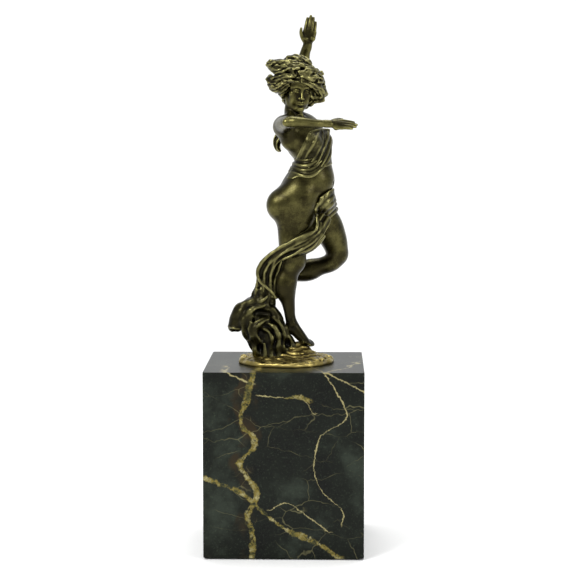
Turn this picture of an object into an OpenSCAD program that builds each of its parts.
// Dancing figure in bronze on a veined marble block.
// Origin: middle of the underside. +Z up, the figure's chest side towards +X, its show side towards -Y.
// The figure is cast in sections that meet on flat seats, each held by a dowel and brazed.

/* [Block] */
// Width of the marble block, left to right
block_w = 102; // [80:1:130]
// Depth of the marble block, front to back
block_d = 102; // [80:1:130]
// Height of the marble block
block_h = 119; // [70:1:180]
// Chamfer along the block's edges
block_edge = 1.2; // [0.5:0.1:3]
// Thickness of the felt under the block
felt_t = 1; // [0.5:0.1:3]
// Margin between the felt and the block's sides
felt_margin = 3; // [1:0.5:8]

/* [Fixing] */
// Diameter of the threaded stud
stud_d = 6; // [4:1:8]
// Length of stud held in the ground casting
stud_grip = 7; // [5:0.5:8]
// Diameter of the hole through the block
block_hole_d = 8; // [7:0.5:12]
// Diameter of the nut recess
recess_d = 32; // [26:1:44]
// Depth of the nut recess
recess_h = 18; // [12:1:30]
// Outside diameter of the washer
washer_d = 25; // [16:1:25]
// Thickness of the washer
washer_t = 1.6; // [1:0.1:3]
// Width of the nut across its flats
nut_flats = 10; // [8:1:14]
// Height of the nut
nut_h = 5; // [3:0.5:8]
// Stud left showing past the nut
stud_tail = 3; // [1:0.5:5]

/* [Figure] */
// Height from the block's top to the raised fingertips
figure_h = 225; // [180:1:270]
// Thickness of the cloth that clings to the body
cloth_t = 1.1; // [0.6:0.1:2]
// Diameter of the dowels in the joints
dowel_d = 2.4; // [1.5:0.1:3]
// Depth of each dowel on either side of its joint
dowel_depth = 5; // [3:0.5:6]
// Running room between a dowel and its hole, all round
dowel_fit = 0.05; // [0.02:0.01:0.1]
// Width of the ground casting
ground_w = 64; // [50:1:76]
// Wall of the ground casting over its hollow underside
ground_wall = 2.5; // [2:0.1:3]
// Diameter of the boss that takes the stud
boss_d = 14; // [11:0.5:18]

/* [Hidden] */

eps = 0.01;
top = felt_t + block_h;          // height of the block's top face
washer_play = 0.4;               // how much wider the washer's hole is than the stud
drawn_h = 225;                   // height at which the stations below were laid out
k = figure_h / drawn_h;          // size of the figure against its stations
sides = 20;                      // corners of an oval section
steps = 3;                       // steps between two stations
Y = [0, 1, 0];
Z = [0, 0, 1];

// Stations: [x, y, z above the block, half-size across, half-size deep]. The torso adds its turn in degrees.
torso_st = [[6, -3, 87, 11, 11.5, 0], [6, -2.2, 94, 15, 15, 0], [5.5, -1, 103, 17.5, 18, 0],
            [8.5, -1, 111, 16, 17.4, 2], [13.5, -1, 117, 15.8, 15.8, 5], [16, -1, 121, 15.2, 14.8, 8],
            [17.8, -1, 127, 12.6, 13.3, 14], [18.5, -0.5, 133, 11, 12.6, 20],
            [16.5, 0, 139, 12.6, 14, 26], [13, 0, 146, 13.8, 16.6, 30], [10.4, 0, 151.5, 11.6, 17.6, 33],
            [8.2, 0, 156, 7.8, 13, 33], [5.6, -0.8, 160.5, 5.6, 7, 30], [4.6, -1.4, 165, 4.9, 5.1, 30],
            [5, -2, 169, 4.7, 4.8, 30], [6, -2.5, 174, 4.7, 4.8, 30]];
standing_leg_st = [[6, -8, 87, 10.6, 8.5], [5.4, -8, 80, 9.8, 8.8], [5, -8, 72, 8.8, 8.4],
            [4.6, -8, 66, 8, 7.8], [2.6, -8, 60, 7, 7], [1, -8, 54, 7, 6.9], [0.8, -8, 48, 6.3, 6.3],
            [1.6, -8, 42, 5, 5.1], [2.6, -8, 36, 4.1, 4.2], [3.2, -8, 31, 3.7, 3.7],
            [4, -8, 26.5, 3.8, 3.5], [5.8, -8, 22.4, 4.2, 3.6], [9, -8, 18.2, 4.3, 3.9],
            [12.8, -8, 14.6, 3.5, 3.9], [16, -8, 12.6, 1.8, 3.2], [17.6, -8, 11.9, 0.6, 1.6]];
raised_leg_st = [[8, 4.6, 109, 9, 9], [14, 6.8, 103.4, 10.8, 10.6], [20, 9, 97.4, 11, 10.8],
            [26.5, 12, 90, 10.2, 10], [30.5, 15, 82, 9.2, 9.2], [33, 17, 74.5, 7.8, 8],
            [33.3, 18, 69, 7, 7.4], [29.8, 18, 64.3, 6.4, 6.8], [23, 17.5, 62, 6, 6.2],
            [14, 17, 60.5, 6.4, 6.2], [5, 16, 57.5, 5.4, 5.4], [-3, 15, 54.5, 3.9, 4],
            [-8, 14.5, 51.5, 3.9, 3.6], [-12, 14, 47.5, 3.7, 3.6], [-15.5, 13.5, 43, 2.6, 3.4],
            [-17.2, 13, 40, 1, 2]];
forward_arm_st = [[4, -8, 152, 5.4, 5.4], [0.6, -14, 153.6, 5.4, 5.3], [-1.2, -21, 155.2, 4.8, 4.6],
            [0.2, -29, 156.3, 4.3, 4.1], [2, -35.6, 157, 4, 3.8], [5.6, -39.6, 157, 3.9, 3.8],
            [11, -40.6, 156.8, 3.7, 3.5], [18, -39.4, 156.2, 3, 2.9], [25, -37.5, 155.9, 2.2, 2.3],
            [30.5, -36.2, 155.8, 2.6, 3.2], [36.5, -35, 155.5, 1.9, 3.6], [42, -34, 155.2, 1.5, 3],
            [45.6, -33.2, 155, 0.8, 1.6]];
raised_arm_st = [[16.4, 8, 149.6, 5.2, 5.2], [15.4, 12.6, 153, 5.2, 5.2], [11, 16.6, 157.4, 4.8, 4.7],
            [7.2, 19.4, 162.6, 4.4, 4.4], [6.2, 22, 169, 4.2, 4.3], [7.2, 24.4, 176, 4.1, 4.1],
            [9, 25.8, 183, 4, 4], [10.2, 25.4, 190, 4.2, 4.1],
            [11.2, 23, 197.5, 3.9, 3.8], [12.8, 21, 203.5, 3.2, 2.9], [14, 19.6, 208, 2.9, 2.3],
            [15.2, 18.4, 213.5, 4.8, 2], [16, 18, 218.5, 4.7, 1.6], [16.6, 19, 222.4, 3.6, 1.3],
            [16.8, 19.8, 224.5, 1.3, 0.6]];
scarf_st = [[33.2, 2.8, 97.5, 5.4, 1.4], [28.2, -1.4, 95, 6.4, 1.4], [24.6, -9.4, 91.6, 6.8, 1.4],
            [16.8, -16.6, 84.4, 6, 1.4], [8.5, -18.9, 77.4, 5, 1.4], [0.5, -18.2, 72.2, 4.7, 1.4],
            [-6.6, -17, 67.6, 4.8, 1.5], [-11.6, -15.4, 61.5, 5.6, 1.6], [-14.2, -12.2, 53, 6.8, 2.1],
            [-14.6, -8.6, 44, 8, 3]];
tail_st = [[-14.6, -8.6, 44, 8, 3], [-17.6, -7, 40.5, 12, 5.4], [-20.6, -6.5, 36, 14.4, 6.6],
            [-20.4, -6.5, 29, 15, 7.2], [-19.8, -6.5, 22.5, 14.4, 7.4], [-16.2, -6, 17, 11.4, 7.6],
            [-13.8, -5.5, 12, 10, 8], [-13, -5, 6, 9.8, 8.2]];
ribbon_st = [[1.6, 6.4, 149, 3.2, 2], [-3.2, 6, 144.5, 3, 1.7], [-5.4, 5, 139.5, 2.4, 1.4],
            [-6, 4.4, 136, 0.9, 0.8]];
ground_st = [[0, 0, 0, 1, 1], [0, 0, 2.4, 1.016, 1.016], [0, 0, 4.2, 0.95, 0.95],
            [1, -1, 5.4, 0.78, 0.76], [2, -2, 7.4, 0.58, 0.54], [6, -5, 9.8, 0.42, 0.34],
            [10, -7.6, 12.4, 0.3, 0.2]];

// Head and hair are drawn as distances from one point, out to an oval skull with its forms and locks.
skull = [8.6, -3, 180];
skull_r = [9.6, 11, 13];
face_way = [0.28, -0.93, -0.24];
face_side = [0.957, 0.29, 0];
face_up = [0.07, -0.23, 0.97];
// Forms of the face: [right, up, forward, height, spread in degrees].
forms = [[0, -0.14, 1, 2.2, 11], [0, 0.16, 1, 0.7, 16], [0.36, 0.1, 1, -0.9, 11], [-0.36, 0.1, 1, -0.9, 11],
         [0, -0.42, 1, 0.8, 11], [0, -0.8, 1, 1.6, 16], [0.62, -0.6, 0.8, -0.9, 20], [-0.62, -0.6, 0.8, -0.9, 20]];
hair_reach = 116;                // degrees from the back of the head to the hairline over the brow
hair_nape = 44;                  // degrees the hairline draws in at the nape
hair_base = 2.2;                 // thickness of the hair where it lies flat
hair_gap = 0.12;                 // room between the hair casting and the skull
hair_start = 3;                  // degrees left open at the middle of the rings
hair_rows = 14;
hair_turns = 36;
head_rows = 22;
head_turns = 30;
// Locks: [direction, length past the flat hair, spread in degrees].
locks = [[[-0.86, 0.1, 0.5], 9.5, 26], [[-0.96, 0.05, -0.12], 6.5, 24], [[-0.25, 0.2, 0.95], 2.6, 30],
         [[0.98, 0, 0.16], 5, 24], [[0.86, -0.1, -0.5], 6.8, 24], [[0.2, 0.95, -0.2], 2, 50]];

hip_t = 1.6 * cloth_t;           // thickness of the bunched cloth on the raised thigh
hip_gap = 0.1;                   // room between it and the torso it lies on

// Seats: [point on the joint, direction from the torso side to the limb].
neck_seat = [[5.7, -2.3, 171.5], [0.12, -0.08, 1]];
forward_seat = [[2.2, -11.6, 152.6], [-0.42, -0.9, 0.14]];
raised_seat = [[14.6, 12.6, 154], [-0.5, 0.62, 0.6]];
standing_seat = [[6, -8, 87], [0, 0, -1]];
raised_hip_seat = [[12.6, 6.2, 104.6], [0.7, 0.26, -0.68]];
foot_seat = [[12, -8, 11.4], [0, 0, 1]];
tail_seat = [[-13, -5, 6], [0, 0, 1]];
scarf_seat = [[29.7, 1.3, 95.9], [0.574, -0.799, 0.18]];

function unit(v) = v / norm(v);
function place(p) = [0, 0, top] + k * p;
function xyz(s) = [s[0], s[1], s[2]];

// Catmull-Rom curve through stations, read at share t between b and c.
function between(a, b, c, d, t) =
    0.5 * (2 * b + (c - a) * t + (2 * a - 5 * b + 4 * c - d) * t * t + (3 * b - a - 3 * c + d) * t * t * t);
function smooth(st, n = steps) =
    let (last = len(st) - 1)
    [for (i = [0 : last - 1], j = [0 : n - 1])
        between(st[max(i - 1, 0)], st[i], st[i + 1], st[min(i + 2, last)], j / n), st[last]];

// The way a run of stations heads at station i.
function heading(st, i) =
    let (last = len(st) - 1)
    unit(xyz(st[min(i + 1, last)]) - xyz(st[max(i - 1, 0)]));

// One oval section, its second half-size along the reference unless the station turns it.
function oval(s, way, ref, grow = 0) =
    let (turn = len(s) > 5 ? s[5] : 0,
         side = unit(cross(way, ref)),
         fore = cross(side, way),
         across = cos(turn) * side + sin(turn) * fore,
         deep = cos(turn) * fore - sin(turn) * side)
    [for (j = [0 : sides - 1]) let (a = 360 * j / sides)
        place(xyz(s)) + (k * s[3] + grow) * cos(a) * across + (k * s[4] + grow) * sin(a) * deep];
// The sections of a whole run; the last may be laid level so that it meets a level seat.
function ovals(st, ref, level = false) =
    [for (i = [0 : len(st) - 1]) oval(st[i], level && i == len(st) - 1 ? -Z : heading(st, i), ref)];

function joined(lists) = [for (l = lists, p = l) p];
// Triangles between row i and row i + 1 of a grid with n points a row, first point of the grid at "from".
function strip(i, n, from = 0, flip = false) =
    [for (j = [0 : n - 1])
        let (a = from + i * n + j, b = from + i * n + (j + 1) % n, c = a + n, d = b + n)
        each flip ? [[a, b, c], [b, d, c]] : [[a, c, b], [b, c, d]]];

// A closed solid skinned over rings of equal length, with a flat cap at each end.
module skin(rings) {
    n = len(rings[0]);
    last = len(rings) - 1;
    polyhedron(
        points = joined(rings),
        faces = concat(
            [for (i = [0 : last - 1]) each strip(i, n)],
            [[for (j = [0 : n - 1]) j]],
            [[for (j = [n - 1 : -1 : 0]) last * n + j]]));
}

// The same as a run of convex spans, for cloth that is cut to fit what it lies on.
module spans(rings)
    for (i = [0 : len(rings) - 2]) hull() skin([rings[i], rings[i + 1]]);

// A closed wall between an inner and an outer set of rings, such as cloth round a limb.
module sleeve(inner, outer) {
    n = len(inner[0]);
    last = len(inner) - 1;
    shift = len(inner) * n;
    polyhedron(
        points = concat(joined(inner), joined(outer)),
        faces = concat(
            [for (i = [0 : last - 1]) each strip(i, n, 0, true)],
            [for (i = [0 : last - 1]) each strip(i, n, shift)],
            [for (j = [0 : n - 1]) let (m = (j + 1) % n)
                each [[j, j + shift, m], [m, j + shift, m + shift]]],
            [for (j = [0 : n - 1]) let (a = last * n + j, b = last * n + (j + 1) % n)
                each [[a, b, a + shift], [b, b + shift, a + shift]]]));
}

// A cylinder that starts at a point and runs along a direction.
module rod(start, way, d, h) {
    w = unit(way);
    translate(start) rotate([0, acos(w[2]), atan2(w[1], w[0])]) cylinder(d = d, h = h, $fn = 32);
}

// The dowel of a seat, and its hole when it is given the fit.
module dowel(seat, fit = 0) {
    way = unit(seat[1]);
    half = dowel_depth + fit;
    rod(place(seat[0]) - half * way, way, dowel_d + 2 * fit, 2 * half);
}

// Everything past a seat, within a width: what the torso side leaves for the limb.
module past(seat, width, reach) rod(place(seat[0]), seat[1], k * width, k * reach);
// Everything before a seat, within a width: what the limb leaves for the torso side.
module before(seat, width, reach) rod(place(seat[0]), -seat[1], k * width, k * reach);

module felt_pad() color("darkolivegreen")
    translate([-block_w / 2 + felt_margin, -block_d / 2 + felt_margin, 0])
        cube([block_w - 2 * felt_margin, block_d - 2 * felt_margin, felt_t]);

// The block, chamfered by hulling a slab that is full size with a core that is full height.
module marble_block() color([0.13, 0.15, 0.13])
    difference() {
        hull() {
            for (axis = [[1, 0, 0], Y, Z]) {
                translate([0, 0, felt_t + block_h / 2])
                    cube([block_w, block_d, block_h] - 2 * block_edge * axis, center = true);
            }
        }
        translate([0, 0, felt_t - eps]) cylinder(d = block_hole_d, h = block_h + 2 * eps, $fn = 48);
        translate([0, 0, felt_t - eps]) cylinder(d = recess_d, h = recess_h + eps, $fn = 64);
    }

module fixing_stud() color("silver")
    translate([0, 0, felt_t + recess_h - washer_t - nut_h - stud_tail])
        cylinder(d = stud_d, h = top + stud_grip - (felt_t + recess_h - washer_t - nut_h - stud_tail), $fn = 40);

module washer() color("silver")
    translate([0, 0, felt_t + recess_h - washer_t]) difference() {
        cylinder(d = washer_d, h = washer_t, $fn = 48);
        translate([0, 0, -eps]) cylinder(d = stud_d + washer_play, h = washer_t + 2 * eps, $fn = 40);
    }

module nut() color("silver")
    translate([0, 0, felt_t + recess_h - washer_t - nut_h]) difference() {
        cylinder(d = nut_flats / cos(30), h = nut_h, $fn = 6);
        translate([0, 0, -eps]) cylinder(d = stud_d, h = nut_h + 2 * eps, $fn = 40);
    }

// Cast rock underfoot: a low hollow dish turned over, with a boss for the stud and seats for the foot and the tail.
module ground_casting() color([0.32, 0.28, 0.15]) {
    r = ground_w / 2 / k;
    st = smooth([for (s = ground_st) [s[0], s[1], s[2], s[3] * r, s[4] * r]], 2);
    difference() {
        skin([for (s = st) oval(s, Z, Y)]);
        difference() {
            translate([0, 0, top - eps])
                cylinder(r1 = ground_w / 2 - 2 * ground_wall, r2 = ground_w / 4, h = ground_wall, $fn = 64);
            translate([0, 0, top - 2 * eps]) cylinder(d = boss_d, h = ground_wall + 4 * eps, $fn = 48);
        }
        translate([0, 0, top - eps]) cylinder(d = stud_d, h = stud_grip + eps, $fn = 40);
        past(foot_seat, 30, 20);
        past(tail_seat, 24, 10);
        dowel(foot_seat, dowel_fit);
        dowel(tail_seat, dowel_fit);
    }
}

module standing_leg() color([0.3, 0.26, 0.14])
    difference() {
        skin(ovals(smooth(standing_leg_st), Y));
        before(foot_seat, 40, 12);
        before(standing_seat, 40, 8);
        dowel(foot_seat, dowel_fit);
        dowel(standing_seat, dowel_fit);
    }

module raised_leg() color([0.3, 0.26, 0.14])
    difference() {
        skin(ovals(smooth(raised_leg_st), Y));
        before(raised_hip_seat, 60, 30);
        dowel(raised_hip_seat, dowel_fit);
    }

module torso() color([0.34, 0.3, 0.17])
    difference() {
        skin(ovals(smooth(torso_st, 2), Y));
        past(neck_seat, 14, 10);
        past(forward_seat, 13, 12);
        past(raised_seat, 13, 12);
        past(raised_hip_seat, 26, 24);
        past(standing_seat, 60, 8);
        for (s = [neck_seat, forward_seat, raised_seat, standing_seat, raised_hip_seat])
            dowel(s, dowel_fit);
    }

module forward_arm() color([0.34, 0.3, 0.17])
    difference() {
        skin(ovals(smooth(forward_arm_st), Z));
        before(forward_seat, 26, 12);
        dowel(forward_seat, dowel_fit);
    }

module raised_arm() color([0.34, 0.3, 0.17])
    difference() {
        skin(ovals(smooth(raised_arm_st), Y));
        before(raised_seat, 26, 12);
        dowel(raised_seat, dowel_fit);
    }

// The sum of forms or the tallest of locks at a unit direction.
function form(u, f) = f[3] * exp(-pow(acos(min(1, u * unit(f[0] * face_side + f[1] * face_up + f[2] * face_way))) / f[4], 2));
function lock(u, l) = l[1] * exp(-pow(acos(min(1, u * unit(l[0]))) / l[2], 2));
// Distance from the skull's middle to the oval skull, to the face and to the hair's outside.
function skull_reach(u) = 1 / norm([u[0] / skull_r[0], u[1] / skull_r[1], u[2] / skull_r[2]]);
function face_reach(u) = skull_reach(u) + total([for (f = forms) form(u, f)]);
function hair_out(u) = skull_reach(u) + hair_base + max([for (l = locks) lock(u, l)]);
function total(v, i = 0) = i < len(v) ? v[i] + total(v, i + 1) : 0;
// Unit direction at an angle from the back of the head and a turn about that line.
function outward(off, turn) =
    -cos(off) * face_way + sin(off) * (cos(turn) * face_side + sin(turn) * face_up);

module head() color([0.36, 0.32, 0.19])
    difference() {
        skin([for (i = [0 : head_rows])
            [for (j = [0 : head_turns - 1])
                let (u = unit(outward(2 + 176 * i / head_rows, 360 * j / head_turns)))
                place(skull + face_reach(u) * u)]]);
        before(neck_seat, 13, 24);
        dowel(neck_seat, dowel_fit);
    }

// Rings of the hair's inner or outer face, from the back of the head to the hairline.
function hair_rings(outside) = [for (i = [0 : hair_rows])
    [for (j = [0 : hair_turns - 1])
        let (turn = 360 * j / hair_turns,
             reach = hair_reach - hair_nape * max(0, -sin(turn)),
             u = unit(outward(hair_start + (reach - hair_start) * i / hair_rows, turn)),
             inside = max(skull_reach(u), face_reach(u)) + hair_gap)
        place(skull + (outside ? max(hair_out(u), inside + 1) : inside) * u)]];

module hair() color([0.3, 0.27, 0.15])
    difference() {
        sleeve(hair_rings(false), hair_rings(true));
        before(neck_seat, 15, 24);
    }

// Sections along part of a run, grown by the thickness of cloth.
function part_of(st, from, to, ref, grow) = [for (i = [from : to]) oval(st[i], heading(st, i), ref, grow)];
// Cloth that clings to part of a limb's own run of sections.
module wrap(st, from, to, ref, thick)
    sleeve(part_of(st, from, to, ref, 0), part_of(st, from, to, ref, thick));

module chest_wrap() color([0.4, 0.38, 0.24])
    difference() {
        wrap(smooth(torso_st, 2), 14, 19, Y, cloth_t);
        past(forward_seat, 13, 12);
        past(raised_seat, 13, 12);
    }

module waist_wrap() color([0.4, 0.38, 0.24]) wrap(smooth(torso_st, 2), 11, 14, Y, cloth_t);

module hip_drape() color([0.4, 0.38, 0.24])
    difference() {
        wrap(smooth(raised_leg_st), 3, 11, Y, hip_t);
        before(raised_hip_seat, 60, 30);
        spans(part_of(smooth(torso_st, 2), 0, 9, Y, hip_gap));
        past(scarf_seat, 20, 6);
    }

module scarf() color([0.42, 0.4, 0.24])
    difference() {
        skin(ovals(smooth(scarf_st), Y, true));
        before(scarf_seat, 22, 6);
    }

module tail_drape() color([0.36, 0.33, 0.2])
    difference() {
        skin([for (s = smooth(tail_st)) oval(s, -Z, Y)]);
        dowel(tail_seat, dowel_fit);
    }

module back_ribbon() color([0.3, 0.27, 0.16])
    difference() {
        spans(ovals(smooth(ribbon_st), Y));
        spans(part_of(smooth(torso_st, 2), 13, 22, Y, cloth_t));
    }

module neck_dowel() color("goldenrod") dowel(neck_seat);
module forward_arm_dowel() color("goldenrod") dowel(forward_seat);
module raised_arm_dowel() color("goldenrod") dowel(raised_seat);
module standing_hip_dowel() color("goldenrod") dowel(standing_seat);
module raised_hip_dowel() color("goldenrod") dowel(raised_hip_seat);
module foot_dowel() color("goldenrod") dowel(foot_seat);
module tail_dowel() color("goldenrod") dowel(tail_seat);

felt_pad();
marble_block();
fixing_stud();
washer();
nut();
ground_casting();
standing_leg();
raised_leg();
torso();
head();
hair();
forward_arm();
raised_arm();
chest_wrap();
waist_wrap();
hip_drape();
scarf();
tail_drape();
back_ribbon();
neck_dowel();
forward_arm_dowel();
raised_arm_dowel();
standing_hip_dowel();
raised_hip_dowel();
foot_dowel();
tail_dowel();
